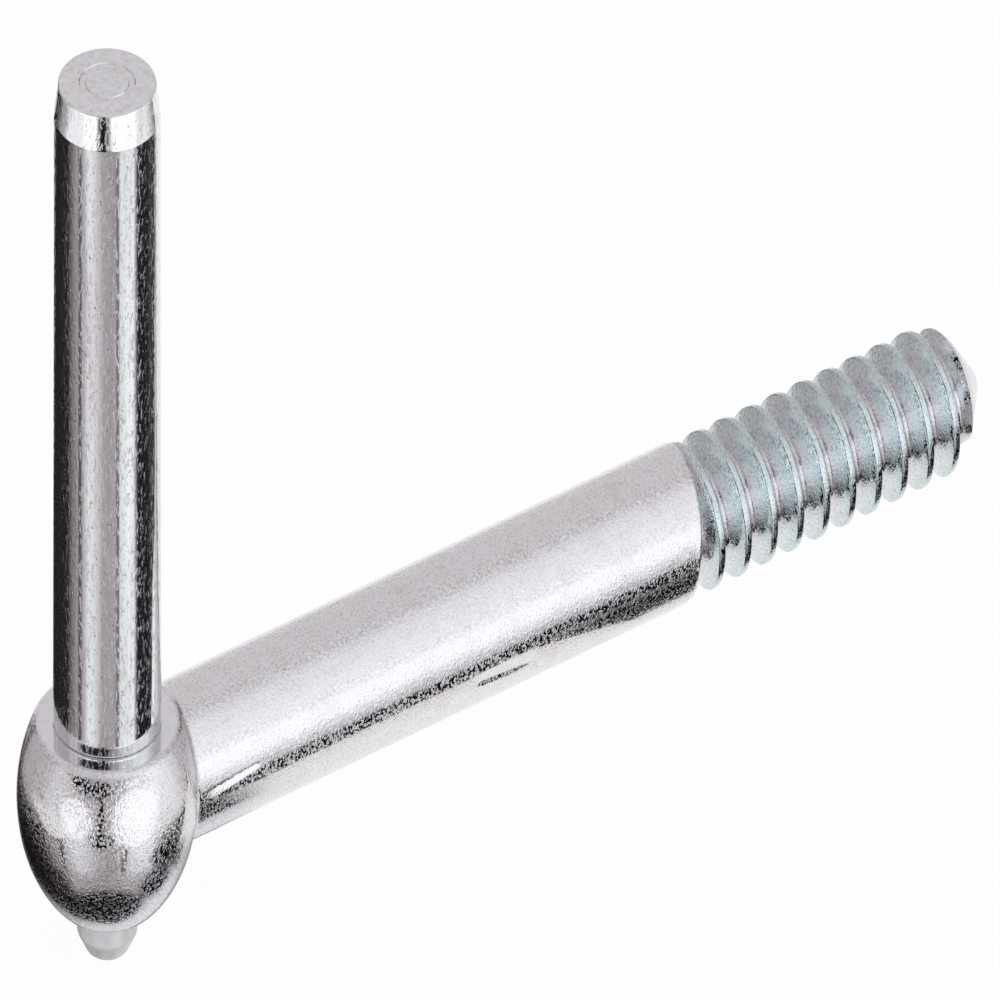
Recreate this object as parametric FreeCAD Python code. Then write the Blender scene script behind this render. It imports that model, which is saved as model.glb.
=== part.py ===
"""Gate hinge pin: a lag shank forged with a ball head, and an upright pin driven through the ball.

Millimetres. The origin is the centre of the pin's foot on the ball's flat seat.
The pin stands along +Z and the shank runs along +X to its screw point.
"""
import FreeCAD
import Part
import math
import os

# Upright pin that the gate strap turns on
pin_diameter = 15.9
pin_length = 70.0
pin_lead_in_width = 0.55
pin_lead_in_length = 3.6
pin_foot_chamfer = 0.35
end_mark_outer_diameter = 8.3
end_mark_inner_diameter = 6.4
end_mark_depth = 0.15

# Tenon below the pin, driven through the ball, with its end and a tapered tail left standing out underneath
tenon_diameter = 8.8
tenon_clearance = 0.05
tenon_stand_out = 2.0
tail_length = 2.0
tail_end_diameter = 6.0
tail_end_chamfer = 0.5

# Ball head with its milled seat, and the neck to the shank
ball_diameter = 26.6
seat_above_shank = 0.05
seat_edge_chamfer = 0.6
neck_fillet = 1.2

# Plain shank
shank_diameter = 15.9
shank_end_from_pin = 101.5
shank_end_chamfer = 0.7

# Right-hand lag thread
thread_diameter = 15.5
thread_root_diameter = 11.6
thread_pitch = 4.78
thread_crest_width = 1.5
thread_flank_angle = 30.0
first_crest_past_shank = 1.8
turns_in_shank = 2

# Blunt screw point, a round shoulder running into a cone
point_from_pin = 156.0
point_half_angle = 48.0
point_nose_diameter = 2.4
point_crest_margin = 0.2

ball_radius = ball_diameter / 2
shank_radius = shank_diameter / 2
thread_radius = thread_diameter / 2
root_radius = thread_root_diameter / 2
pin_radius = pin_diameter / 2
tenon_radius = tenon_diameter / 2
bore_radius = tenon_radius + tenon_clearance
shank_axis_z = -(shank_radius + seat_above_shank)
bore_mouth_z = shank_axis_z - math.sqrt(ball_radius**2 - bore_radius**2)

x_axis = FreeCAD.Vector(1, 0, 0)
z_axis = FreeCAD.Vector(0, 0, 1)
pin_foot = FreeCAD.Vector(0, 0, 0)
ball_centre = FreeCAD.Vector(0, 0, shank_axis_z)


def on_shank(x, radius):
    """Point of the shank's half section: distance from the pin, then from the shank's axis."""
    return FreeCAD.Vector(x, 0, shank_axis_z + radius)


def on_pin(radius, z):
    """Point of the pin's half section."""
    return FreeCAD.Vector(radius, 0, z)


def line(start, end):
    return Part.LineSegment(start, end).toShape()


def round_corner(start, centre, radius, middle_angle, end):
    """Arc through the point of the circle that lies at middle_angle."""
    lift = FreeCAD.Vector(math.cos(middle_angle), 0, math.sin(middle_angle))
    return Part.Arc(start, centre + lift * radius, end).toShape()


def turned(edges, axis_point, axis):
    return Part.Face(Part.Wire(edges)).revolve(axis_point, axis, 360)


def ball_and_shank():
    """Ball, neck and plain shank, turned about the shank's axis."""
    neck_reach = ball_radius + neck_fillet
    neck_height = shank_radius + neck_fillet
    neck_angle = math.asin(neck_height / neck_reach)
    neck_x = neck_reach * math.cos(neck_angle)
    neck_centre = on_shank(neck_x, neck_height)
    ball_back = on_shank(-ball_radius, 0)
    ball_side = on_shank(ball_radius * math.cos(neck_angle), ball_radius * math.sin(neck_angle))
    shank_start = on_shank(neck_x, shank_radius)

    shank_stop = on_shank(shank_end_from_pin - shank_end_chamfer, shank_radius)
    end_rim = on_shank(shank_end_from_pin, shank_radius - shank_end_chamfer)
    end_centre = on_shank(shank_end_from_pin, 0)
    ball_middle = (math.pi + neck_angle) / 2
    neck_middle = (neck_angle + math.pi + 1.5 * math.pi) / 2
    return turned([
        round_corner(ball_back, ball_centre, ball_radius, ball_middle, ball_side),
        round_corner(ball_side, neck_centre, neck_fillet, neck_middle, shank_start),
        line(shank_start, shank_stop),
        line(shank_stop, end_rim),
        line(end_rim, end_centre),
        line(end_centre, ball_back),
    ], ball_centre, x_axis)


def helix(radius, x):
    """One right-hand turn about the shank's axis, from the top of the shank and back to it."""
    turn = Part.makeHelix(thread_pitch, thread_pitch, radius)
    lay_along_shank = FreeCAD.Rotation(z_axis, x_axis)
    start_on_top = FreeCAD.Rotation(x_axis, 180)
    turn.Placement = FreeCAD.Placement(on_shank(x, 0), start_on_top.multiply(lay_along_shank))
    return turn.Edges[0]


def threaded_rod():
    """Endless lag thread: strips ruled between helices, one set a turn, closed at both ends."""
    half_crest = thread_crest_width / 2
    flank = (thread_radius - root_radius) * math.tan(math.radians(thread_flank_angle))
    half_foot = half_crest + flank
    first_x = shank_end_from_pin + first_crest_past_shank - turns_in_shank * thread_pitch
    turns = math.ceil((point_from_pin - first_x) / thread_pitch) + 1

    def screw_end(x):
        start = on_shank(x - half_foot, 0)
        stop = on_shank(x + thread_pitch - half_foot, 0)
        section = [
            start,
            on_shank(x - half_foot, root_radius),
            on_shank(x - half_crest, thread_radius),
            on_shank(x + half_crest, thread_radius),
            on_shank(x + half_foot, root_radius),
            on_shank(x + thread_pitch - half_foot, root_radius),
            stop,
        ]
        flat = Part.Face(Part.makePolygon(section + [start]))
        ramp = Part.makeRuledSurface(helix(root_radius, x - half_foot), line(start, stop))
        return [flat, ramp]

    strips = screw_end(first_x) + screw_end(first_x + turns * thread_pitch)
    for turn in range(turns):
        x = first_x + turn * thread_pitch
        rails = [
            helix(root_radius, x - half_foot),
            helix(thread_radius, x - half_crest),
            helix(thread_radius, x + half_crest),
            helix(root_radius, x + half_foot),
            helix(root_radius, x + thread_pitch - half_foot),
        ]
        for near, far in zip(rails, rails[1:]):
            strips.append(Part.makeRuledSurface(near, far))
    skin = Part.makeShell(strips)
    skin.sewShape(1e-4)
    return Part.Solid(skin)


def pointed_blank():
    """Round-shouldered point that the thread's crests die out on."""
    blank_radius = thread_radius + point_crest_margin
    half_angle = math.radians(point_half_angle)
    nose_radius = point_nose_diameter / 2
    cone_top = blank_radius * math.cos(half_angle)
    cone_x = point_from_pin - (cone_top - nose_radius) / math.tan(half_angle)
    shoulder_x = cone_x - blank_radius * math.sin(half_angle)
    buried_x = shank_end_from_pin - shank_end_chamfer - thread_pitch / 2
    shoulder_middle = (math.pi - half_angle) / 2
    corners = [
        on_shank(buried_x, 0),
        on_shank(buried_x, blank_radius),
        on_shank(shoulder_x, blank_radius),
        on_shank(cone_x, cone_top),
        on_shank(point_from_pin, nose_radius),
        on_shank(point_from_pin, 0),
    ]
    return turned([
        line(corners[0], corners[1]),
        line(corners[1], corners[2]),
        round_corner(corners[2], on_shank(shoulder_x, 0), blank_radius, shoulder_middle, corners[3]),
        line(corners[3], corners[4]),
        line(corners[4], corners[5]),
        line(corners[5], corners[0]),
    ], ball_centre, x_axis)


def lag_shank():
    """The forging: ball, shank and thread, with the seat milled and the tenon's hole bored."""
    thread = threaded_rod().common(pointed_blank())
    forging = ball_and_shank().fuse(thread)
    seat_mill = Part.makeCylinder(ball_radius + neck_fillet, 2 * ball_radius, pin_foot, z_axis)
    seated = forging.cut(seat_mill)
    seat = [face for face in seated.Faces if face.BoundBox.ZMin > -1e-6][0]
    eased = seated.makeChamfer(seat_edge_chamfer, seat.OuterWire.Edges)

    bore_start = ball_centre - z_axis * 2 * ball_radius
    bore = Part.makeCylinder(bore_radius, 4 * ball_radius, bore_start, z_axis)
    return eased.cut(bore)


def hinge_pin():
    """Upright pin, shoulder, tenon and tail, turned in one piece."""
    tenon_end_z = bore_mouth_z - tenon_stand_out
    tail_z = tenon_end_z - tail_length
    tail_radius = tail_end_diameter / 2
    lead_in_z = pin_length - pin_lead_in_length
    mark_z = pin_length - end_mark_depth
    corners = [
        on_pin(0, tail_z),
        on_pin(tail_radius, tail_z),
        on_pin(tenon_radius, tenon_end_z),
        on_pin(tenon_radius, 0),
        on_pin(pin_radius - pin_foot_chamfer, 0),
        on_pin(pin_radius, pin_foot_chamfer),
        on_pin(pin_radius, lead_in_z),
        on_pin(pin_radius - pin_lead_in_width, pin_length),
        on_pin(end_mark_outer_diameter / 2, pin_length),
        on_pin(end_mark_outer_diameter / 2, mark_z),
        on_pin(end_mark_inner_diameter / 2, mark_z),
        on_pin(end_mark_inner_diameter / 2, pin_length),
        on_pin(0, pin_length),
    ]
    outline = Part.makePolygon(corners + corners[:1])
    pin = turned(outline.Edges, pin_foot, z_axis)
    tail_rim = [edge for edge in pin.Edges if edge.BoundBox.ZMax < tail_z + 1e-6]
    return pin.makeChamfer(tail_end_chamfer, tail_rim)


os.makedirs("parts", exist_ok=True)
lag_shank().exportStep("parts/lag_shank.step")
hinge_pin().exportStep("parts/hinge_pin.step")
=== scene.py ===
"""Gate hinge pin, dressed: a zinc-plated lag shank with a ball head, and the pin driven through it."""
import math

import bmesh
import bpy
from mathutils import Matrix, Vector, noise


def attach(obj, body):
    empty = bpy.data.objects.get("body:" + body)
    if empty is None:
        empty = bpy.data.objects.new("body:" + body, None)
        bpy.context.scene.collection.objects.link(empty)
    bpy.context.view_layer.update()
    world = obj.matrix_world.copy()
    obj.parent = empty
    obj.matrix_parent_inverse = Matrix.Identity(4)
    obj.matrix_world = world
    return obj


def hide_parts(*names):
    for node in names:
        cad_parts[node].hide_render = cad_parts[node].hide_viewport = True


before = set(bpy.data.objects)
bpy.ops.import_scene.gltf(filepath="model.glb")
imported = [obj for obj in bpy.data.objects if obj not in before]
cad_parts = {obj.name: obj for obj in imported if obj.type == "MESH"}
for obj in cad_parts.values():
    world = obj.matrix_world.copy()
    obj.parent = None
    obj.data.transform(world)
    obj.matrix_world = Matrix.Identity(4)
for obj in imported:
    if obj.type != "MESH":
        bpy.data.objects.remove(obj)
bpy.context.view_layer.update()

# Ball head
# The ball is forged in one with the shank from round steel bar, then milled flat on top and bored through.
# The flat carries the gate strap, the bore holds the pin's tenon, and zinc plate covers it all.
mm = 0.001
ball_radius = 13.3
shank_axis_z = -8.0
seat_rounding = 1.2
bore_radius = 4.45
mouth_rounding = 0.35
ball_columns = 192
ball_centre = Vector((0, 0, shank_axis_z))


def arc(centre, radius, start, stop, steps):
    """Points on a circle from one angle to another, in degrees."""
    points = []
    for step in range(steps + 1):
        angle = math.radians(start + (stop - start) * step / steps)
        points.append((centre[0] + radius * math.cos(angle), centre[1] + radius * math.sin(angle)))
    return points


def rows(outline, pace):
    """Outline with its long runs divided, and a row close to each end of a run to hold the shading flat."""
    result = []
    for near, far in zip(outline, outline[1:]):
        start = Vector(near)
        run = Vector(far) - start
        result.append(tuple(start))
        if run.length > 1.5 * pace:
            inset = 0.12 * pace / run.length
            pieces = math.ceil(run.length / pace)
            shares = [inset] + [step / pieces for step in range(1, pieces)] + [1 - inset]
            for share in shares:
                result.append(tuple(start + run * share))
    result.append(tuple(outline[-1]))
    return result


def lathe_upright(mesh, outline, columns, closed):
    """Turns an outline of (radius, height) about the pin's axis."""
    rings = []
    for radius, height in outline:
        if radius < 1e-6:
            rings.append([mesh.verts.new((0, 0, height * mm))] * columns)
            continue
        ring = []
        for column in range(columns):
            angle = 2 * math.pi * column / columns
            x = radius * math.cos(angle)
            y = radius * math.sin(angle)
            ring.append(mesh.verts.new((x * mm, y * mm, height * mm)))
        rings.append(ring)
    pairs = list(zip(rings, rings[1:]))
    if closed:
        pairs.append((rings[-1], rings[0]))
    for lower, upper in pairs:
        for column in range(columns):
            after = (column + 1) % columns
            corners = [lower[column], lower[after], upper[after], upper[column]]
            mesh.faces.new(list(dict.fromkeys(corners)))


seat_reach = ball_radius - seat_rounding
seat_drop = -shank_axis_z - seat_rounding
seat_flat = math.sqrt(seat_reach**2 - seat_drop**2)
seat_slope = math.degrees(math.atan2(seat_drop, seat_flat))
mouth_flat = bore_radius + mouth_rounding
mouth_drop = math.sqrt((ball_radius - mouth_rounding) ** 2 - mouth_flat**2)
mouth_slope = math.degrees(math.atan2(-mouth_drop, mouth_flat))
mouth_z = shank_axis_z - mouth_drop

ball_outline = [(bore_radius, 0)]
ball_outline += arc((seat_flat, -seat_rounding), seat_rounding, 90, seat_slope, 8)
ball_outline += arc((0, shank_axis_z), ball_radius, seat_slope, mouth_slope, 76)[1:]
ball_outline += arc((mouth_flat, mouth_z), mouth_rounding, mouth_slope, -180, 7)[1:]
forging = bmesh.new()
lathe_upright(forging, rows(ball_outline, 0.9), ball_columns, True)

# Neck and plain shank
# The shank is a round steel bar, left as forged, with the fine grain of the dies under its zinc plate.
# A small fillet runs it into the ball. Its end leans from the rolling, and handling has left nicks in it.
shank_radius = 7.95
shank_end = 101.5
neck_fillet = 1.2
end_rounding = 0.7
end_lean = 1.3
end_lean_turn = math.radians(32)
lean_from = 86.0
end_wall_radii = (6.4, 3.0)
shank_pace = 0.5
plain_step = 2.0
fine_step = 0.8
die_depth = 0.045
die_size = 4.5
smooth_seat_drop = 0.9
smooth_seat_radius = 13.0
smooth_bore_margin = 1.0
smooth_end_length = 1.5

neck_reach = ball_radius + neck_fillet
neck_height = shank_radius + neck_fillet
neck_angle = math.degrees(math.asin(neck_height / neck_reach))
neck_x = neck_reach * math.cos(math.radians(neck_angle))
neck_cut = ball_radius * math.cos(math.radians(neck_angle))

bmesh.ops.bisect_plane(
    forging,
    geom=forging.verts[:] + forging.edges[:] + forging.faces[:],
    dist=1e-7,
    plane_co=(neck_cut * mm, 0, 0),
    plane_no=(1, 0, 0),
    clear_outer=True,
)
bmesh.ops.remove_doubles(forging, verts=forging.verts[:], dist=0.01 * mm)
neck_loop = [edge for edge in forging.edges if edge.is_boundary]

shank_angles = []
turned = 0.0
while turned < 359.9:
    shank_angles.append(math.radians(turned))
    at_nicks = turned < 23.9 or 79.9 < turned < 115.9
    turned += fine_step if at_nicks else plain_step


def shank_ring(mesh, x, radius):
    """Ring of points about the shank's axis, from its top round by the front, no higher than the seat."""
    lean = max((x - lean_from) / (shank_end - lean_from), 0)
    if x > shank_end + 1:
        lean = 0
    ring = []
    for angle in shank_angles:
        along = x + end_lean * lean**2 * radius / shank_radius * math.cos(angle + end_lean_turn)
        up = min(radius * math.cos(angle), -shank_axis_z)
        ring.append(mesh.verts.new((along * mm, -radius * math.sin(angle) * mm, (up + shank_axis_z) * mm)))
    return ring


def join_rings(mesh, near, far):
    """Wall between two rings of the shank."""
    count = len(near)
    for column in range(count):
        after = (column + 1) % count
        mesh.faces.new([near[column], far[column], far[after], near[after]])


def ring_edges(mesh, ring):
    """Edges that run round a ring."""
    return [mesh.edges.get((near, far)) for near, far in zip(ring, ring[1:] + ring[:1])]


neck_line = arc((neck_x, neck_height), neck_fillet, 180 + neck_angle, 270, 9)[1:]
end_line = arc((shank_end - end_rounding, shank_radius - end_rounding), end_rounding, 90, 0, 6)
shank_line = rows([neck_line[-1], end_line[0]], shank_pace)
wall_line = [(shank_end, radius) for radius in end_wall_radii]
shank_rings = []
for x, radius in neck_line[:-1] + shank_line + end_line[1:] + wall_line:
    shank_rings.append(shank_ring(forging, x, radius))
for near, far in zip(shank_rings, shank_rings[1:]):
    join_rings(forging, near, far)
bmesh.ops.bridge_loops(forging, edges=neck_loop + ring_edges(forging, shank_rings[0]))
forging.faces.new(shank_rings[-1])
bmesh.ops.recalc_face_normals(forging, faces=forging.faces[:])
forging.normal_update()

# Each nick: where it starts along the shank and round it from the top, where it stops, its half widths,
# its depth, and how far across it is deepest, from its upper edge at 0 to its lower edge at 1
nicks = [
    (59.6, 105.4, 71.0, 109.0, 0.8, 1.3, 0.24, 0.68),
    (11.9, 92.8, 21.5, 86.6, 0.6, 0.3, 0.22, 0.15),
    (32.0, 1.6, 33.3, 2.0, 0.35, 0.3, 0.06, 0.5),
    (33.8, 2.0, 34.9, 2.6, 0.3, 0.3, 0.06, 0.5),
    (35.2, 2.6, 37.0, 3.6, 0.35, 0.4, 0.07, 0.5),
    (63.2, 11.4, 64.5, 12.4, 0.3, 0.3, 0.05, 0.5),
    (66.0, 13.6, 67.2, 14.8, 0.3, 0.3, 0.05, 0.5),
    (68.6, 16.2, 71.6, 19.4, 0.3, 0.3, 0.05, 0.5),
]
nick_run_in = 0.15
nick_run_out = 0.1


def nick_depth(x, angle):
    """How deep the nicks go at a place on the shank."""
    deepest = 0
    for start, start_angle, stop, stop_angle, start_width, stop_width, depth, deepest_at in nicks:
        share = (x - start) / (stop - start)
        if 0 < share < 1:
            middle = start_angle + (stop_angle - start_angle) * share
            width = start_width + (stop_width - start_width) * share
            across = 0.5 + math.radians(angle - middle) * shank_radius / width / 2
            fade = min(1, share / nick_run_in, (1 - share) / nick_run_out)
            groove = min(across / deepest_at, (1 - across) / (1 - deepest_at))
            deepest = max(deepest, depth * fade * max(groove, 0))
    return deepest


for vert in forging.verts:
    here = vert.co / mm
    from_pin = math.hypot(here.x, here.y)
    on_seat = here.z > -smooth_seat_drop and from_pin < smooth_seat_radius
    in_bore = from_pin < bore_radius + smooth_bore_margin
    at_end = here.x > shank_end - smooth_end_length
    if on_seat or in_bore or at_end:
        continue
    sunk = die_depth * (0.5 + 0.5 * noise.noise(here / die_size))
    if here.x > neck_x:
        angle = math.degrees(math.atan2(-here.y, here.z - shank_axis_z))
        sunk += nick_depth(here.x, angle)
    vert.co -= vert.normal * sunk * mm
shank_mesh = bpy.data.meshes.new("lag_shank_skin")
forging.to_mesh(shank_mesh)
forging.free()
shank = bpy.data.objects.new("lag_shank_skin", shank_mesh)
bpy.context.scene.collection.objects.link(shank)

# Lag thread and point
# The thread is rolled cold into the shank's end, so its crests are burnished smooth and its roots rounded.
# It is right-handed and coarse, for wood, and dies out on the shoulder of a blunt point.
thread_radius = 7.75
root_radius = 5.0
pitch = 4.78
crest_half = 0.5
foot_half = 1.95
crest_rounding = 0.4
root_rounding = 0.7
first_crest = 103.3
turn_columns = 96
buried_turns = 2
buried_length = 3.0
turns = 13
crest_fade = 0.25
point_x = 156.0
point_slope = math.radians(48)
nose_radius = 1.2
nose_rounding = 0.9
smooth_cone_length = 3.25
cone_join = 0.4
blank_radius = 7.95
crease_angle = math.radians(50)
cone_top = blank_radius * math.cos(point_slope)
cone_x = point_x - (cone_top - nose_radius) / math.tan(point_slope)
shoulder_x = cone_x - blank_radius * math.sin(point_slope)


def eased(corners, steps):
    """Outline through (a, b, rounding) corners, each rounded by an arc of its own radius."""
    outline = []
    for index, (a, b, rounding) in enumerate(corners):
        here = Vector((a, b))
        if rounding == 0:
            outline.append(tuple(here))
            continue
        back = (Vector(corners[index - 1][:2]) - here).normalized()
        ahead = (Vector(corners[index + 1][:2]) - here).normalized()
        half = back.angle(ahead) / 2
        centre = here + (back + ahead).normalized() * rounding / math.sin(half)
        reach = rounding / math.tan(half)
        first = here + back * reach - centre
        last = here + ahead * reach - centre
        sweep = math.pi - 2 * half
        for step in range(steps + 1):
            share = step / steps
            blend = first * math.sin((1 - share) * sweep) + last * math.sin(share * sweep)
            outline.append(tuple(centre + blend / math.sin(sweep)))
    return outline


ridge = eased([
    (-pitch / 2, root_radius, 0),
    (-foot_half, root_radius, root_rounding),
    (-crest_half, thread_radius, crest_rounding),
    (crest_half, thread_radius, crest_rounding),
    (foot_half, root_radius, root_rounding),
    (pitch / 2, root_radius, 0),
], 5)[:-1]


def blank_at(x):
    """Radius of the pointed blank that the thread was rolled on."""
    if x <= shoulder_x:
        return blank_radius
    if x <= cone_x:
        return math.sqrt(blank_radius**2 - (x - shoulder_x) ** 2)
    return max(nose_radius + (point_x - x) * math.tan(point_slope), 0.05)


def softer_of(a, b, reach):
    """The lesser of two radii, rounded over where they meet."""
    overlap = max(reach - abs(a - b), 0) / reach
    return min(a, b) - overlap**2 * reach / 4


screw = bmesh.new()
start_x = first_crest - buried_turns * pitch
spiral = []
for turn in range(turns):
    for along, radius in ridge:
        strand = []
        for column in range(turn_columns + 1):
            angle = 2 * math.pi * column / turn_columns
            x = start_x + along + pitch * (turn + column / turn_columns)
            out = softer_of(radius, blank_at(x), crest_fade)
            y = -out * math.sin(angle)
            z = out * math.cos(angle) + shank_axis_z
            strand.append(screw.verts.new((x * mm, y * mm, z * mm)))
        spiral.append(strand)
for near, far in zip(spiral, spiral[1:]):
    for column in range(turn_columns):
        screw.faces.new([near[column], near[column + 1], far[column + 1], far[column]])
bmesh.ops.remove_doubles(screw, verts=screw.verts[:], dist=0.002 * mm)
cone_cut = point_x - smooth_cone_length
for plane_x, side in ((shank_end - buried_length, -1), (cone_cut, 1)):
    bmesh.ops.bisect_plane(
        screw,
        geom=screw.verts[:] + screw.edges[:] + screw.faces[:],
        dist=1e-7,
        plane_co=(plane_x * mm, 0, 0),
        plane_no=(side, 0, 0),
        clear_outer=True,
    )
bmesh.ops.remove_doubles(screw, verts=screw.verts[:], dist=0.01 * mm)
open_edges = [edge for edge in screw.edges if edge.is_boundary]
half_way = (shank_end + cone_cut) / 2 * mm
buried_edges = [edge for edge in open_edges if edge.verts[0].co.x < half_way]
tip_edges = [edge for edge in open_edges if edge.verts[0].co.x > half_way]
bmesh.ops.holes_fill(screw, edges=buried_edges)
cone_start = cone_cut + cone_join
nose_line = eased([
    (cone_start, blank_at(cone_start), 0),
    (point_x, nose_radius, nose_rounding),
    (point_x, 0, 0),
], 8)[:-1]
cone_rings = [shank_ring(screw, x, radius) for x, radius in rows(nose_line, 0.6)]
for near, far in zip(cone_rings, cone_rings[1:]):
    join_rings(screw, near, far)
bmesh.ops.bridge_loops(screw, edges=tip_edges + ring_edges(screw, cone_rings[0]))
screw.faces.new(cone_rings[-1])
bmesh.ops.recalc_face_normals(screw, faces=screw.faces[:])
screw_mesh = bpy.data.meshes.new("screw")
screw.to_mesh(screw_mesh)
screw.free()
screw_part = bpy.data.objects.new("screw", screw_mesh)
bpy.context.scene.collection.objects.link(screw_part)

union = shank.modifiers.new("thread", "BOOLEAN")
union.operation = "UNION"
union.solver = "EXACT"
union.object = screw_part
seen_shank = shank.evaluated_get(bpy.context.evaluated_depsgraph_get())
joined_mesh = bpy.data.meshes.new_from_object(seen_shank)
shank.modifiers.remove(union)
shank.data = joined_mesh
bpy.data.objects.remove(screw_part)
joined_mesh.shade_smooth()
joined_mesh.set_sharp_from_angle(angle=crease_angle)
thread_from = shank_end + end_lean * 0.9
thread_finish = 1
seat_edge = seat_flat + 0.15
seat_skin = 0.2
seat_finish = 2
for face in joined_mesh.polygons:
    middle = face.center / mm
    if thread_from < middle.x < cone_cut:
        face.material_index = thread_finish
    elif middle.z > -seat_skin and math.hypot(middle.x, middle.y) < seat_edge:
        face.material_index = seat_finish

# Zinc plate of the forging
# Bright plate over the forged skin, with a fine frosty grain that sparkles and faint mauve and blue clouds.
# On the rolled thread it is bluer towards the crests, with painted shade darkening the roots and a painted
# darker reflection on the crests, and on the milled seat it is smooth with faint rings.
grain_scale = 3000
cloud_scale = 330
fleck_depth = 0.028
thread_fleck_depth = 0.02
seat_cloud_scale = 700
mill_ring_scale = 9000
mill_ring_depth = 0.001


def link(tree, source, target):
    """Wire from one socket to another."""
    tree.links.new(source, target)


def add_node(tree, kind, values=None, **settings):
    """New node with its settings and its unlinked inputs filled in."""
    node = tree.nodes.new(kind)
    for name, value in settings.items():
        setattr(node, name, value)
    for name, value in (values or {}).items():
        node.inputs[name].default_value = value
    return node


def add_ramp(tree, factor, stops):
    """Colour ramp through (place, colour) stops."""
    node = tree.nodes.new("ShaderNodeValToRGB")
    marks = node.color_ramp.elements
    while len(marks) < len(stops):
        marks.new(0.5)
    for mark, (place, colour) in zip(marks, stops):
        mark.position = place
        mark.color = (*colour, 1)
    link(tree, factor, node.inputs["Fac"])
    return node.outputs["Color"]


def add_noise(tree, place, scale, detail, roughness):
    """Cloudy pattern from 0 to 1."""
    node = add_node(tree, "ShaderNodeTexNoise", {"Scale": scale, "Detail": detail, "Roughness": roughness})
    link(tree, place, node.inputs["Vector"])
    return node.outputs["Fac"]


def add_range(tree, value, low, high, to_low, to_high):
    """Carries a value from one range to another, held at the ends."""
    node = add_node(tree, "ShaderNodeMapRange", {
        "From Min": low,
        "From Max": high,
        "To Min": to_low,
        "To Max": to_high,
    })
    link(tree, value, node.inputs["Value"])
    return node.outputs["Result"]


def add_product(tree, first, second):
    """One colour darkened by another."""
    node = add_node(tree, "ShaderNodeMix", {"Factor": 1}, data_type="RGBA", blend_type="MULTIPLY")
    link(tree, first, node.inputs["A"])
    link(tree, second, node.inputs["B"])
    return node.outputs["Result"]


def new_metal(name):
    """Bare metal material with its tree and its shader."""
    material = bpy.data.materials.new(name)
    material.use_nodes = True
    shader = material.node_tree.nodes["Principled BSDF"]
    shader.inputs["Metallic"].default_value = 1
    return material, material.node_tree, shader


def add_bump(tree, shader, height, depth):
    """Roughens the surface by a height, to a depth in millimetres."""
    node = add_node(tree, "ShaderNodeBump", {"Strength": 1, "Distance": depth * mm})
    link(tree, height, node.inputs["Height"])
    link(tree, node.outputs["Normal"], shader.inputs["Normal"])


forging_zinc, tree, shader = new_metal("forging_zinc")
place = add_node(tree, "ShaderNodeTexCoord").outputs["Object"]
grain = add_noise(tree, place, grain_scale, 2, 0.6)
cloud = add_noise(tree, place, cloud_scale, 4, 0.6)
tint = add_ramp(tree, cloud, [
    (0.3, (0.78, 0.75, 0.77)),
    (0.5, (0.83, 0.82, 0.83)),
    (0.7, (0.82, 0.84, 0.86)),
])
frost = add_ramp(tree, grain, [
    (0.36, (0.78, 0.77, 0.77)),
    (0.48, (0.96, 0.95, 0.96)),
    (0.60, (1.0, 1.0, 1.0)),
])
link(tree, add_product(tree, tint, frost), shader.inputs["Base Color"])
link(tree, add_range(tree, cloud, 0.3, 0.7, 0.05, 0.09), shader.inputs["Roughness"])
flecks = add_range(tree, grain, 0.5, 0.72, 0, 1)
add_bump(tree, shader, flecks, fleck_depth)
joined_mesh.materials.append(forging_zinc)

thread_zinc_with_painted_shade, tree, shader = new_metal("thread_zinc_with_painted_shade")
place = add_node(tree, "ShaderNodeTexCoord").outputs["Object"]
about_axis = add_node(tree, "ShaderNodeMapping", {
    "Location": (0, 0, -shank_axis_z * mm),
    "Scale": (0, 1, 1),
})
link(tree, place, about_axis.inputs["Vector"])
from_axis = add_node(tree, "ShaderNodeVectorMath", operation="LENGTH")
link(tree, about_axis.outputs["Vector"], from_axis.inputs[0])
grain = add_noise(tree, place, grain_scale, 2, 0.6)
height_share = add_range(tree, from_axis.outputs["Value"], root_radius * mm, thread_radius * mm, 0, 1)
# Painted shade and painted reflection: the colour darkens into the roots as painted shade, and towards the
# crests it turns bluer, the plate's tint, and darker as a painted reflection.
tint = add_ramp(tree, height_share, [
    (0.0, (0.66, 0.64, 0.66)),
    (0.15, (0.76, 0.75, 0.78)),
    (0.45, (0.74, 0.78, 0.80)),
    (0.9, (0.67, 0.75, 0.77)),
    (1.0, (0.64, 0.72, 0.74)),
])
frost = add_ramp(tree, grain, [
    (0.36, (0.70, 0.70, 0.71)),
    (0.48, (0.93, 0.93, 0.93)),
    (0.60, (1.0, 1.0, 1.0)),
])
link(tree, add_product(tree, tint, frost), shader.inputs["Base Color"])
link(tree, add_range(tree, grain, 0.3, 0.7, 0.05, 0.09), shader.inputs["Roughness"])
flecks = add_range(tree, grain, 0.5, 0.72, 0, 1)
add_bump(tree, shader, flecks, thread_fleck_depth)
joined_mesh.materials.append(thread_zinc_with_painted_shade)

seat_zinc, tree, shader = new_metal("seat_zinc")
place = add_node(tree, "ShaderNodeTexCoord").outputs["Object"]
off_centre = add_node(tree, "ShaderNodeVectorMath", operation="LENGTH")
link(tree, place, off_centre.inputs[0])
mill_rings = add_node(tree, "ShaderNodeTexNoise", {
    "Scale": mill_ring_scale,
    "Detail": 2,
}, noise_dimensions="1D")
link(tree, off_centre.outputs["Value"], mill_rings.inputs["W"])
cloud = add_noise(tree, place, seat_cloud_scale, 4, 0.6)
tint = add_ramp(tree, cloud, [
    (0.3, (0.76, 0.75, 0.77)),
    (0.7, (0.84, 0.86, 0.88)),
])
link(tree, tint, shader.inputs["Base Color"])
link(tree, add_range(tree, cloud, 0.3, 0.7, 0.05, 0.1), shader.inputs["Roughness"])
add_bump(tree, shader, mill_rings.outputs["Fac"], mill_ring_depth)
joined_mesh.materials.append(seat_zinc)
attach(shank, "root")
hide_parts("lag_shank")

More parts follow.
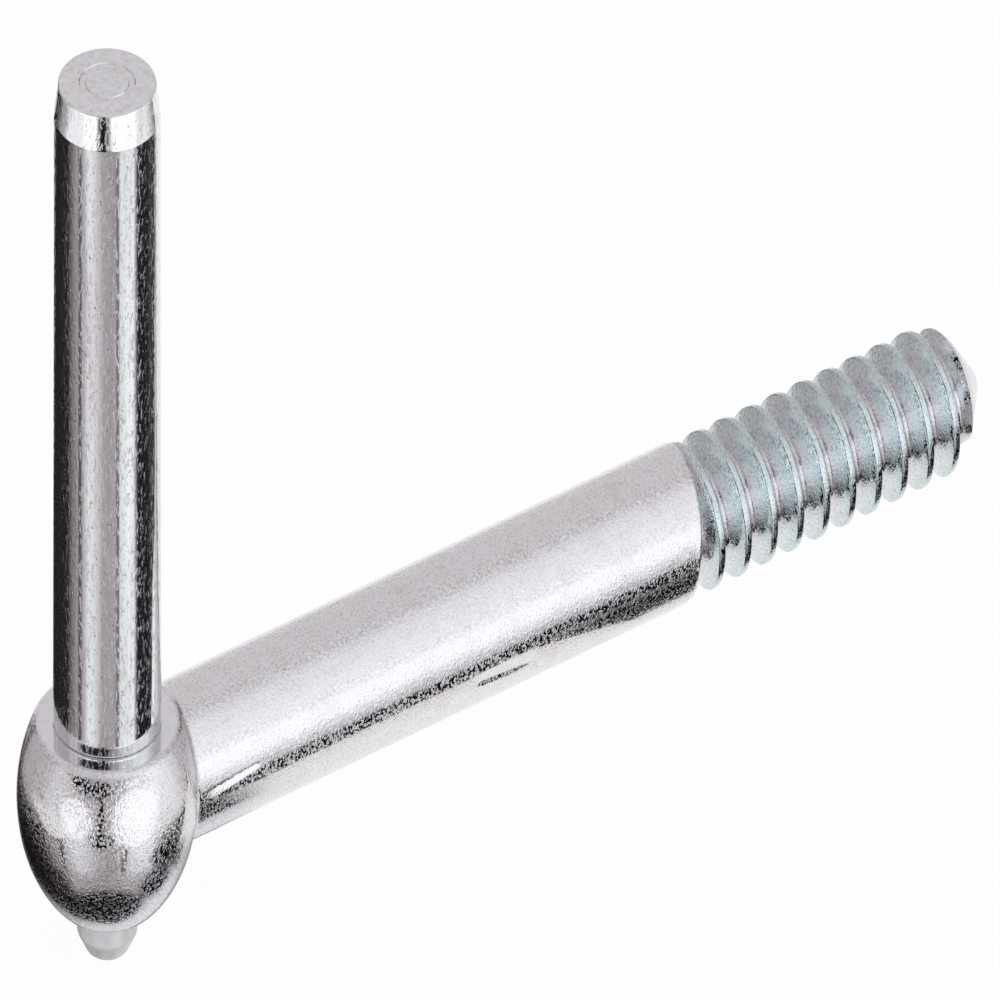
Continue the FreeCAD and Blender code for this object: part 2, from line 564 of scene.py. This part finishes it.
# Hinge pin
# The pin is turned from drawn bar in one piece: a long smooth upright that the gate strap turns on,
# a shoulder that stands on the seat, and a tenon driven through the ball, its tapered tail standing out.
pin_radius = 7.95
pin_length = 70.0
lead_in_width = 0.66
lead_in_length = 3.6
lead_in_rounding = 0.3
rim_rounding = 0.2
foot_rounding = 0.3
mark_outer = 4.15
mark_inner = 3.2
mark_depth = 0.15
mark_ease = 0.06
tenon_radius = 4.4
tenon_end_z = -22.533
tenon_end_rounding = 0.5
tail_z = -24.533
tail_radius = 2.95
tail_rounding = 0.7
tail_finish_margin = 1.0
tail_finish = 1
pin_columns = 192
streak_scale = 900
scuff_scale = 2600
scuff_depth = 0.019
pit_scale = 1900
tail_cloud_scale = 600
tail_grain_depth = 0.03

bore_mouth_z = shank_axis_z - math.sqrt(ball_radius**2 - bore_radius**2)
pin_outline = eased([
    (0, tail_z, 0),
    (tail_radius, tail_z, tail_rounding),
    (tenon_radius, tenon_end_z, tenon_end_rounding),
    (tenon_radius, 0, 0),
    (pin_radius, 0, foot_rounding),
    (pin_radius, pin_length - lead_in_length, lead_in_rounding),
    (pin_radius - lead_in_width, pin_length, rim_rounding),
    (mark_outer + mark_ease, pin_length, mark_ease),
    (mark_outer - mark_ease, pin_length - mark_depth, mark_ease),
    (mark_inner + mark_ease, pin_length - mark_depth, mark_ease),
    (mark_inner - mark_ease, pin_length, mark_ease),
    (0, pin_length, 0),
], 6)
turning = bmesh.new()
lathe_upright(turning, rows(pin_outline, 1.0), pin_columns, False)
bmesh.ops.recalc_face_normals(turning, faces=turning.faces[:])
tail_finish_z = (bore_mouth_z + tail_finish_margin) * mm
for face in turning.faces:
    face.smooth = True
    if face.calc_center_median().z < tail_finish_z:
        face.material_index = tail_finish
pin_mesh = bpy.data.meshes.new("hinge_pin_skin")
turning.to_mesh(pin_mesh)
turning.free()
pin = bpy.data.objects.new("hinge_pin_skin", pin_mesh)
bpy.context.scene.collection.objects.link(pin)

pin_zinc, tree, shader = new_metal("pin_zinc")
shader.inputs["Metallic"].default_value = 0.98
place = add_node(tree, "ShaderNodeTexCoord").outputs["Object"]
drawn = add_node(tree, "ShaderNodeMapping", {"Scale": (1, 1, 0.03)})
link(tree, place, drawn.inputs["Vector"])
streak = add_noise(tree, drawn.outputs["Vector"], streak_scale, 4, 0.6)
ground = add_node(tree, "ShaderNodeMapping", {"Rotation": (0.2, 0.3, 0), "Scale": (1, 1, 0.4)})
link(tree, place, ground.inputs["Vector"])
scuff = add_noise(tree, ground.outputs["Vector"], scuff_scale, 3, 0.6)
pits = add_noise(tree, place, pit_scale, 2, 0.6)
tint = add_ramp(tree, streak, [
    (0.3, (0.70, 0.67, 0.69)),
    (0.5, (0.82, 0.82, 0.83)),
    (0.7, (0.86, 0.89, 0.92)),
])
specks = add_ramp(tree, pits, [
    (0.28, (0.58, 0.52, 0.46)),
    (0.36, (1.0, 1.0, 1.0)),
])
link(tree, add_product(tree, tint, specks), shader.inputs["Base Color"])
link(tree, add_range(tree, streak, 0.3, 0.7, 0.04, 0.09), shader.inputs["Roughness"])
scuff_marks = add_range(tree, scuff, 0.54, 0.70, 0, 1)
add_bump(tree, shader, scuff_marks, scuff_depth)
pin_mesh.materials.append(pin_zinc)

tail_zinc, tree, shader = new_metal("tail_zinc")
shader.inputs["Metallic"].default_value = 0.2
place = add_node(tree, "ShaderNodeTexCoord").outputs["Object"]
cloud = add_noise(tree, place, tail_cloud_scale, 4, 0.6)
tint = add_ramp(tree, cloud, [
    (0.3, (0.82, 0.80, 0.80)),
    (0.6, (0.97, 0.96, 0.97)),
])
link(tree, tint, shader.inputs["Base Color"])
link(tree, add_range(tree, cloud, 0.3, 0.7, 0.35, 0.5), shader.inputs["Roughness"])
add_bump(tree, shader, cloud, tail_grain_depth)
pin_mesh.materials.append(tail_zinc)
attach(pin, "root")
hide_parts("hinge_pin")

# Floor
# A sheet of white paper that the piece stands on. The metal mirrors it behind a black border in front of
# the shank, and mirrors the tent below elsewhere.
floor_half_width = 3000
paper_start = 32.0
paper_front = (-25.0, -11.5)
paper_step = (80.0, 96.0)
paper_border = 5.0
paper_white = 0.965
start_softness = 8.0
edge_softness = 1.0
border_softness = 0.7
floor_mesh = bpy.data.meshes.new("floor")
floor_edit = bmesh.new()
bmesh.ops.create_grid(floor_edit, x_segments=1, y_segments=1, size=floor_half_width * mm)
floor_edit.to_mesh(floor_mesh)
floor_edit.free()
floor = bpy.data.objects.new("floor", floor_mesh)
floor.location = (0, 0, tail_z * mm)
bpy.context.scene.collection.objects.link(floor)
floor_paper = bpy.data.materials.new("floor_paper")
floor_paper.use_nodes = True
tree = floor_paper.node_tree
paper = tree.nodes["Principled BSDF"]
paper.inputs["Base Color"].default_value = (0.95, 0.95, 0.95, 1)
paper.inputs["Roughness"].default_value = 0.9
glow = add_node(tree, "ShaderNodeEmission", {"Color": (1, 1, 1, 1)})
seen = add_node(tree, "ShaderNodeLightPath")
lit = add_node(tree, "ShaderNodeMixShader")
plain_sight = add_node(tree, "ShaderNodeMath", operation="ADD")
link(tree, seen.outputs["Is Camera Ray"], plain_sight.inputs[0])
link(tree, seen.outputs["Is Glossy Ray"], plain_sight.inputs[1])
link(tree, add_range(tree, plain_sight.outputs["Value"], 0, 1, 0, paper_white), lit.inputs["Fac"])
link(tree, paper.outputs["BSDF"], lit.inputs[1])
link(tree, glow.outputs["Emission"], lit.inputs[2])
on_floor = add_node(tree, "ShaderNodeSeparateXYZ")
link(tree, add_node(tree, "ShaderNodeTexCoord").outputs["Object"], on_floor.inputs["Vector"])
front_edge = add_range(
    tree,
    on_floor.outputs["X"],
    paper_step[0] * mm,
    paper_step[1] * mm,
    paper_front[0] * mm,
    paper_front[1] * mm,
)
inside = add_node(tree, "ShaderNodeMath", operation="SUBTRACT")
link(tree, on_floor.outputs["Y"], inside.inputs[0])
link(tree, front_edge, inside.inputs[1])
white_part = add_node(tree, "ShaderNodeMath", operation="MAXIMUM")
link(tree, seen.outputs["Is Camera Ray"], white_part.inputs[0])
border_start = (paper_border - border_softness) * mm
border_stop = (paper_border + border_softness) * mm
past_border = add_range(tree, inside.outputs["Value"], border_start, border_stop, 0, 1)
link(tree, past_border, white_part.inputs[1])
link(tree, white_part.outputs["Value"], glow.inputs["Strength"])
in_front = add_range(tree, inside.outputs["Value"], edge_softness * mm, -edge_softness * mm, 0, 1)
paper_stop = paper_start - start_softness
at_ball = add_range(tree, on_floor.outputs["X"], paper_start * mm, paper_stop * mm, 0, 1)
outside = add_node(tree, "ShaderNodeMath", operation="MAXIMUM")
link(tree, in_front, outside.inputs[0])
link(tree, at_ball, outside.inputs[1])
beyond = add_node(tree, "ShaderNodeMath", operation="MULTIPLY")
link(tree, seen.outputs["Is Glossy Ray"], beyond.inputs[0])
link(tree, outside.outputs["Value"], beyond.inputs[1])
blend = add_node(tree, "ShaderNodeMixShader")
link(tree, beyond.outputs["Value"], blend.inputs["Fac"])
link(tree, lit.outputs["Shader"], blend.inputs[1])
link(tree, add_node(tree, "ShaderNodeBsdfTransparent").outputs["BSDF"], blend.inputs[2])
link(tree, blend.outputs["Shader"], tree.nodes["Material Output"].inputs["Surface"])
floor_mesh.materials.append(floor_paper)

# Light tent
# Panels of white cloth hang round the piece, with dark gaps between them, under a pale roof.
# Two lamps stand right and left of the camera. The metal shows it all, and the camera sees plain white.
camera_bearing = 34.1
floor_shadow_edge = math.radians(28)
floor_shadow_core = math.radians(21)
tent = bpy.data.worlds.new("light_tent")
tent.use_nodes = True
tree = tent.node_tree
sky = tree.nodes["Background"]
facing = add_node(tree, "ShaderNodeMapping", {"Rotation": (0, 0, math.radians(camera_bearing))})
link(tree, add_node(tree, "ShaderNodeTexCoord").outputs["Generated"], facing.inputs["Vector"])
axes = add_node(tree, "ShaderNodeSeparateXYZ")
link(tree, facing.outputs["Vector"], axes.inputs["Vector"])
front = add_node(tree, "ShaderNodeMath", {1: -1}, operation="MULTIPLY")
link(tree, axes.outputs["Y"], front.inputs[0])
bearing = add_node(tree, "ShaderNodeMath", operation="ARCTAN2")
link(tree, axes.outputs["X"], bearing.inputs[0])
link(tree, front.outputs["Value"], bearing.inputs[1])
round_share = add_range(tree, bearing.outputs["Value"], -math.pi, math.pi, 0, 1)
height = add_node(tree, "ShaderNodeMath", operation="ARCSINE")
link(tree, axes.outputs["Z"], height.inputs[0])
direction = add_node(tree, "ShaderNodeCombineXYZ")
link(tree, bearing.outputs["Value"], direction.inputs["X"])
link(tree, height.outputs["Value"], direction.inputs["Y"])

white = (1.0, 1.0, 1.0)
black = (0.004, 0.004, 0.005)


def shade(level):
    """Cloth of a brightness: cool where it is bright, warm where it is dark."""
    dark = max(1 - level, 0)
    return (level * (0.96 + 0.14 * dark), level * (0.98 - 0.02 * dark), level * (1.0 - 0.02 * dark))


def add_panels(panels):
    """Cloth round the horizon, from (bearing in degrees, brightness) pairs."""
    return add_ramp(tree, round_share, [((angle + 180) / 360, shade(level)) for angle, level in panels])


def mix_in(share, lower, upper):
    """Blends two colours by a share, each a socket or a plain colour."""
    mix = add_node(tree, "ShaderNodeMix", data_type="RGBA")
    link(tree, share, mix.inputs["Factor"])
    for name, colour in (("A", lower), ("B", upper)):
        if isinstance(colour, tuple):
            mix.inputs[name].default_value = (*colour, 1)
        else:
            link(tree, colour, mix.inputs[name])
    return mix.outputs["Result"]


def above(lower, upper, low_angle, high_angle):
    """One colour below an angle over the horizon, and another above a second angle."""
    share = add_node(tree, "ShaderNodeMapRange", {
        "From Min": math.radians(low_angle),
        "From Max": math.radians(high_angle),
    }, interpolation_type="SMOOTHSTEP")
    link(tree, height.outputs["Value"], share.inputs["Value"])
    return mix_in(share.outputs["Result"], lower, upper)


def spot(around, angle, rise, half_width, half_height, softness, colour):
    """Puts a soft-edged oval on the tent, at a bearing and a height in degrees."""
    local = add_node(tree, "ShaderNodeMapping", {
        "Location": (math.radians(angle), math.radians(rise), 0),
        "Scale": (math.radians(half_width), math.radians(half_height), 1),
    }, vector_type="TEXTURE")
    link(tree, direction.outputs["Vector"], local.inputs["Vector"])
    away = add_node(tree, "ShaderNodeVectorMath", operation="LENGTH")
    link(tree, local.outputs["Vector"], away.inputs[0])
    share = add_node(tree, "ShaderNodeMapRange", {
        "From Min": 1 + softness,
        "From Max": 1 - softness,
    }, interpolation_type="SMOOTHSTEP")
    link(tree, away.outputs["Value"], share.inputs["Value"])
    return mix_in(share.outputs["Result"], around, colour)


# Panels from the floor up to the roof
under = add_panels([
    (-180, 0.95), (-165, 0.8), (-148, 0.01), (-90, 0.01), (-70, 0.06), (-52, 0.5),
    (0, 0.4), (40, 0.6), (66, 0.5), (80, 0.25), (100, 0.7), (125, 0.95), (180, 0.95),
])
table_side = add_panels([
    (-180, 0.25), (-168, 0.3), (-162, 0.01), (-92, 0.01), (-84, 0.12), (-72, 0.32), (-66, 0.4),
    (-62, 0.1), (-57, 0.1), (-53, 0.5), (-48, 0.62), (-40, 0.95), (-30, 0.9), (-18, 0.65), (-8, 0.40),
    (5, 0.38), (19, 0.42), (21, 0.18), (26, 0.2), (28, 0.85), (44, 1.05), (60, 1.05), (70, 0.5),
    (84, 0.2), (100, 0.08), (112, 0.03), (122, 0.05), (130, 0.8), (150, 0.6), (165, 0.3), (180, 0.25),
])
eye_level = add_panels([
    (-180, 0.7), (-145, 0.6), (-120, 0.5), (-90, 0.5), (-76, 0.8), (-50, 0.7), (-20, 0.5),
    (20, 0.5), (58, 0.9), (66, 1.15), (95, 1.0), (120, 0.5), (180, 0.7),
])
roof = add_panels([
    (-180, 0.72), (-90, 0.65), (0, 0.7), (60, 1.0), (85, 1.05), (120, 0.66), (180, 0.72),
])

# Dark gaps low on the right
around = above(under, table_side, -48, -40)
around = spot(around, 84, -33, 24, 9, 0.25, black)
around = spot(around, 86, -53, 28, 10, 0.3, black)

# Pale strips just under eye level
around = above(around, eye_level, -20, -14)
around = spot(around, -52, -10, 56, 6, 0.2, white)
around = spot(around, 52, -10, 58, 6, 0.2, white)
around = spot(around, -72, -15, 18, 5, 0.3, white)

# Dark gaps at the back
around = spot(around, -148, 4, 9, 22, 0.3, shade(0.08))
around = spot(around, 150, 4, 9, 22, 0.3, shade(0.08))

# Dark gap over the camera, then the camera and its stand
around = spot(around, -26, 30, 36, 7, 0.25, black)
around = spot(around, -7, -12, 18, 6.5, 0.2, black)
around = spot(around, -7, 8, 5, 24, 0.3, black)

# Lamps, under the roof
around = spot(around, -38, 2, 21, 15, 0.12, shade(1.4))
around = spot(around, 38, 4, 31, 23, 0.12, shade(1.4))
around = above(around, roof, 38, 46)

# Shadow straight under the piece
shadow_side = add_node(tree, "ShaderNodeVectorMath", {1: (0, -0.1, -0.995)}, operation="DOT_PRODUCT")
link(tree, facing.outputs["Vector"], shadow_side.inputs[0])
from_below = add_node(tree, "ShaderNodeMath", operation="ARCCOSINE")
link(tree, shadow_side.outputs["Value"], from_below.inputs[0])
in_shadow = add_range(tree, from_below.outputs["Value"], floor_shadow_edge, floor_shadow_core, 0, 1)
around = mix_in(in_shadow, around, black)
to_camera = add_node(tree, "ShaderNodeLightPath").outputs["Is Camera Ray"]
link(tree, mix_in(to_camera, around, white), sky.inputs["Color"])
bpy.context.scene.world = tent

# Camera
# The photograph's view: from the front left, a little above, drawn taller than the object is.
# It is given by the pixels that the picture moves right and down for a millimetre along X, Y and Z.
picture_right = Vector((5.644, -3.856, -0.053))
picture_down = Vector((-2.665, -4.146, -9.177))
picture_size = 1000
ball_pixel = (107.218, 793.449)
distance = 4000
sensor_width = 36
towards_camera = picture_right.cross(picture_down).normalized()
if towards_camera.z < 0:
    towards_camera = -towards_camera
right_square = picture_right.dot(picture_right)
right_on_down = picture_right.dot(picture_down)
down_square = picture_down.dot(picture_down)
spread = right_square * down_square - right_on_down * right_on_down
pixels_per_mm = math.sqrt(spread / down_square)
lens_right = (picture_right * down_square - picture_down * right_on_down) * pixels_per_mm / spread
lens_up = (picture_right * right_on_down - picture_down * right_square) * pixels_per_mm / spread
lens_up = lens_up + towards_camera * math.sqrt(1 - lens_up.length_squared)
focal = pixels_per_mm * distance
ball_right = (ball_pixel[0] - picture_size / 2) / focal
ball_up = (picture_size / 2 - ball_pixel[1]) / focal
ray = lens_right * ball_right + lens_up * ball_up - towards_camera
eye = ball_centre - ray * distance
camera_data = bpy.data.cameras.new("camera")
camera_data.sensor_width = sensor_width
camera_data.lens = sensor_width * focal / picture_size
camera_data.clip_start = 0.01
camera_data.clip_end = 100
camera = bpy.data.objects.new("camera", camera_data)
bpy.context.scene.collection.objects.link(camera)
stand = bpy.data.objects.new("camera_stand", None)
bpy.context.scene.collection.objects.link(stand)
camera.parent = stand
camera.matrix_parent_inverse = Matrix((
    (lens_right[0], lens_up[0], towards_camera[0], eye[0] * mm),
    (lens_right[1], lens_up[1], towards_camera[1], eye[1] * mm),
    (lens_right[2], lens_up[2], towards_camera[2], eye[2] * mm),
    (0, 0, 0, 1),
))
bpy.context.scene.camera = camera
bpy.context.scene.view_settings.view_transform = "Standard"
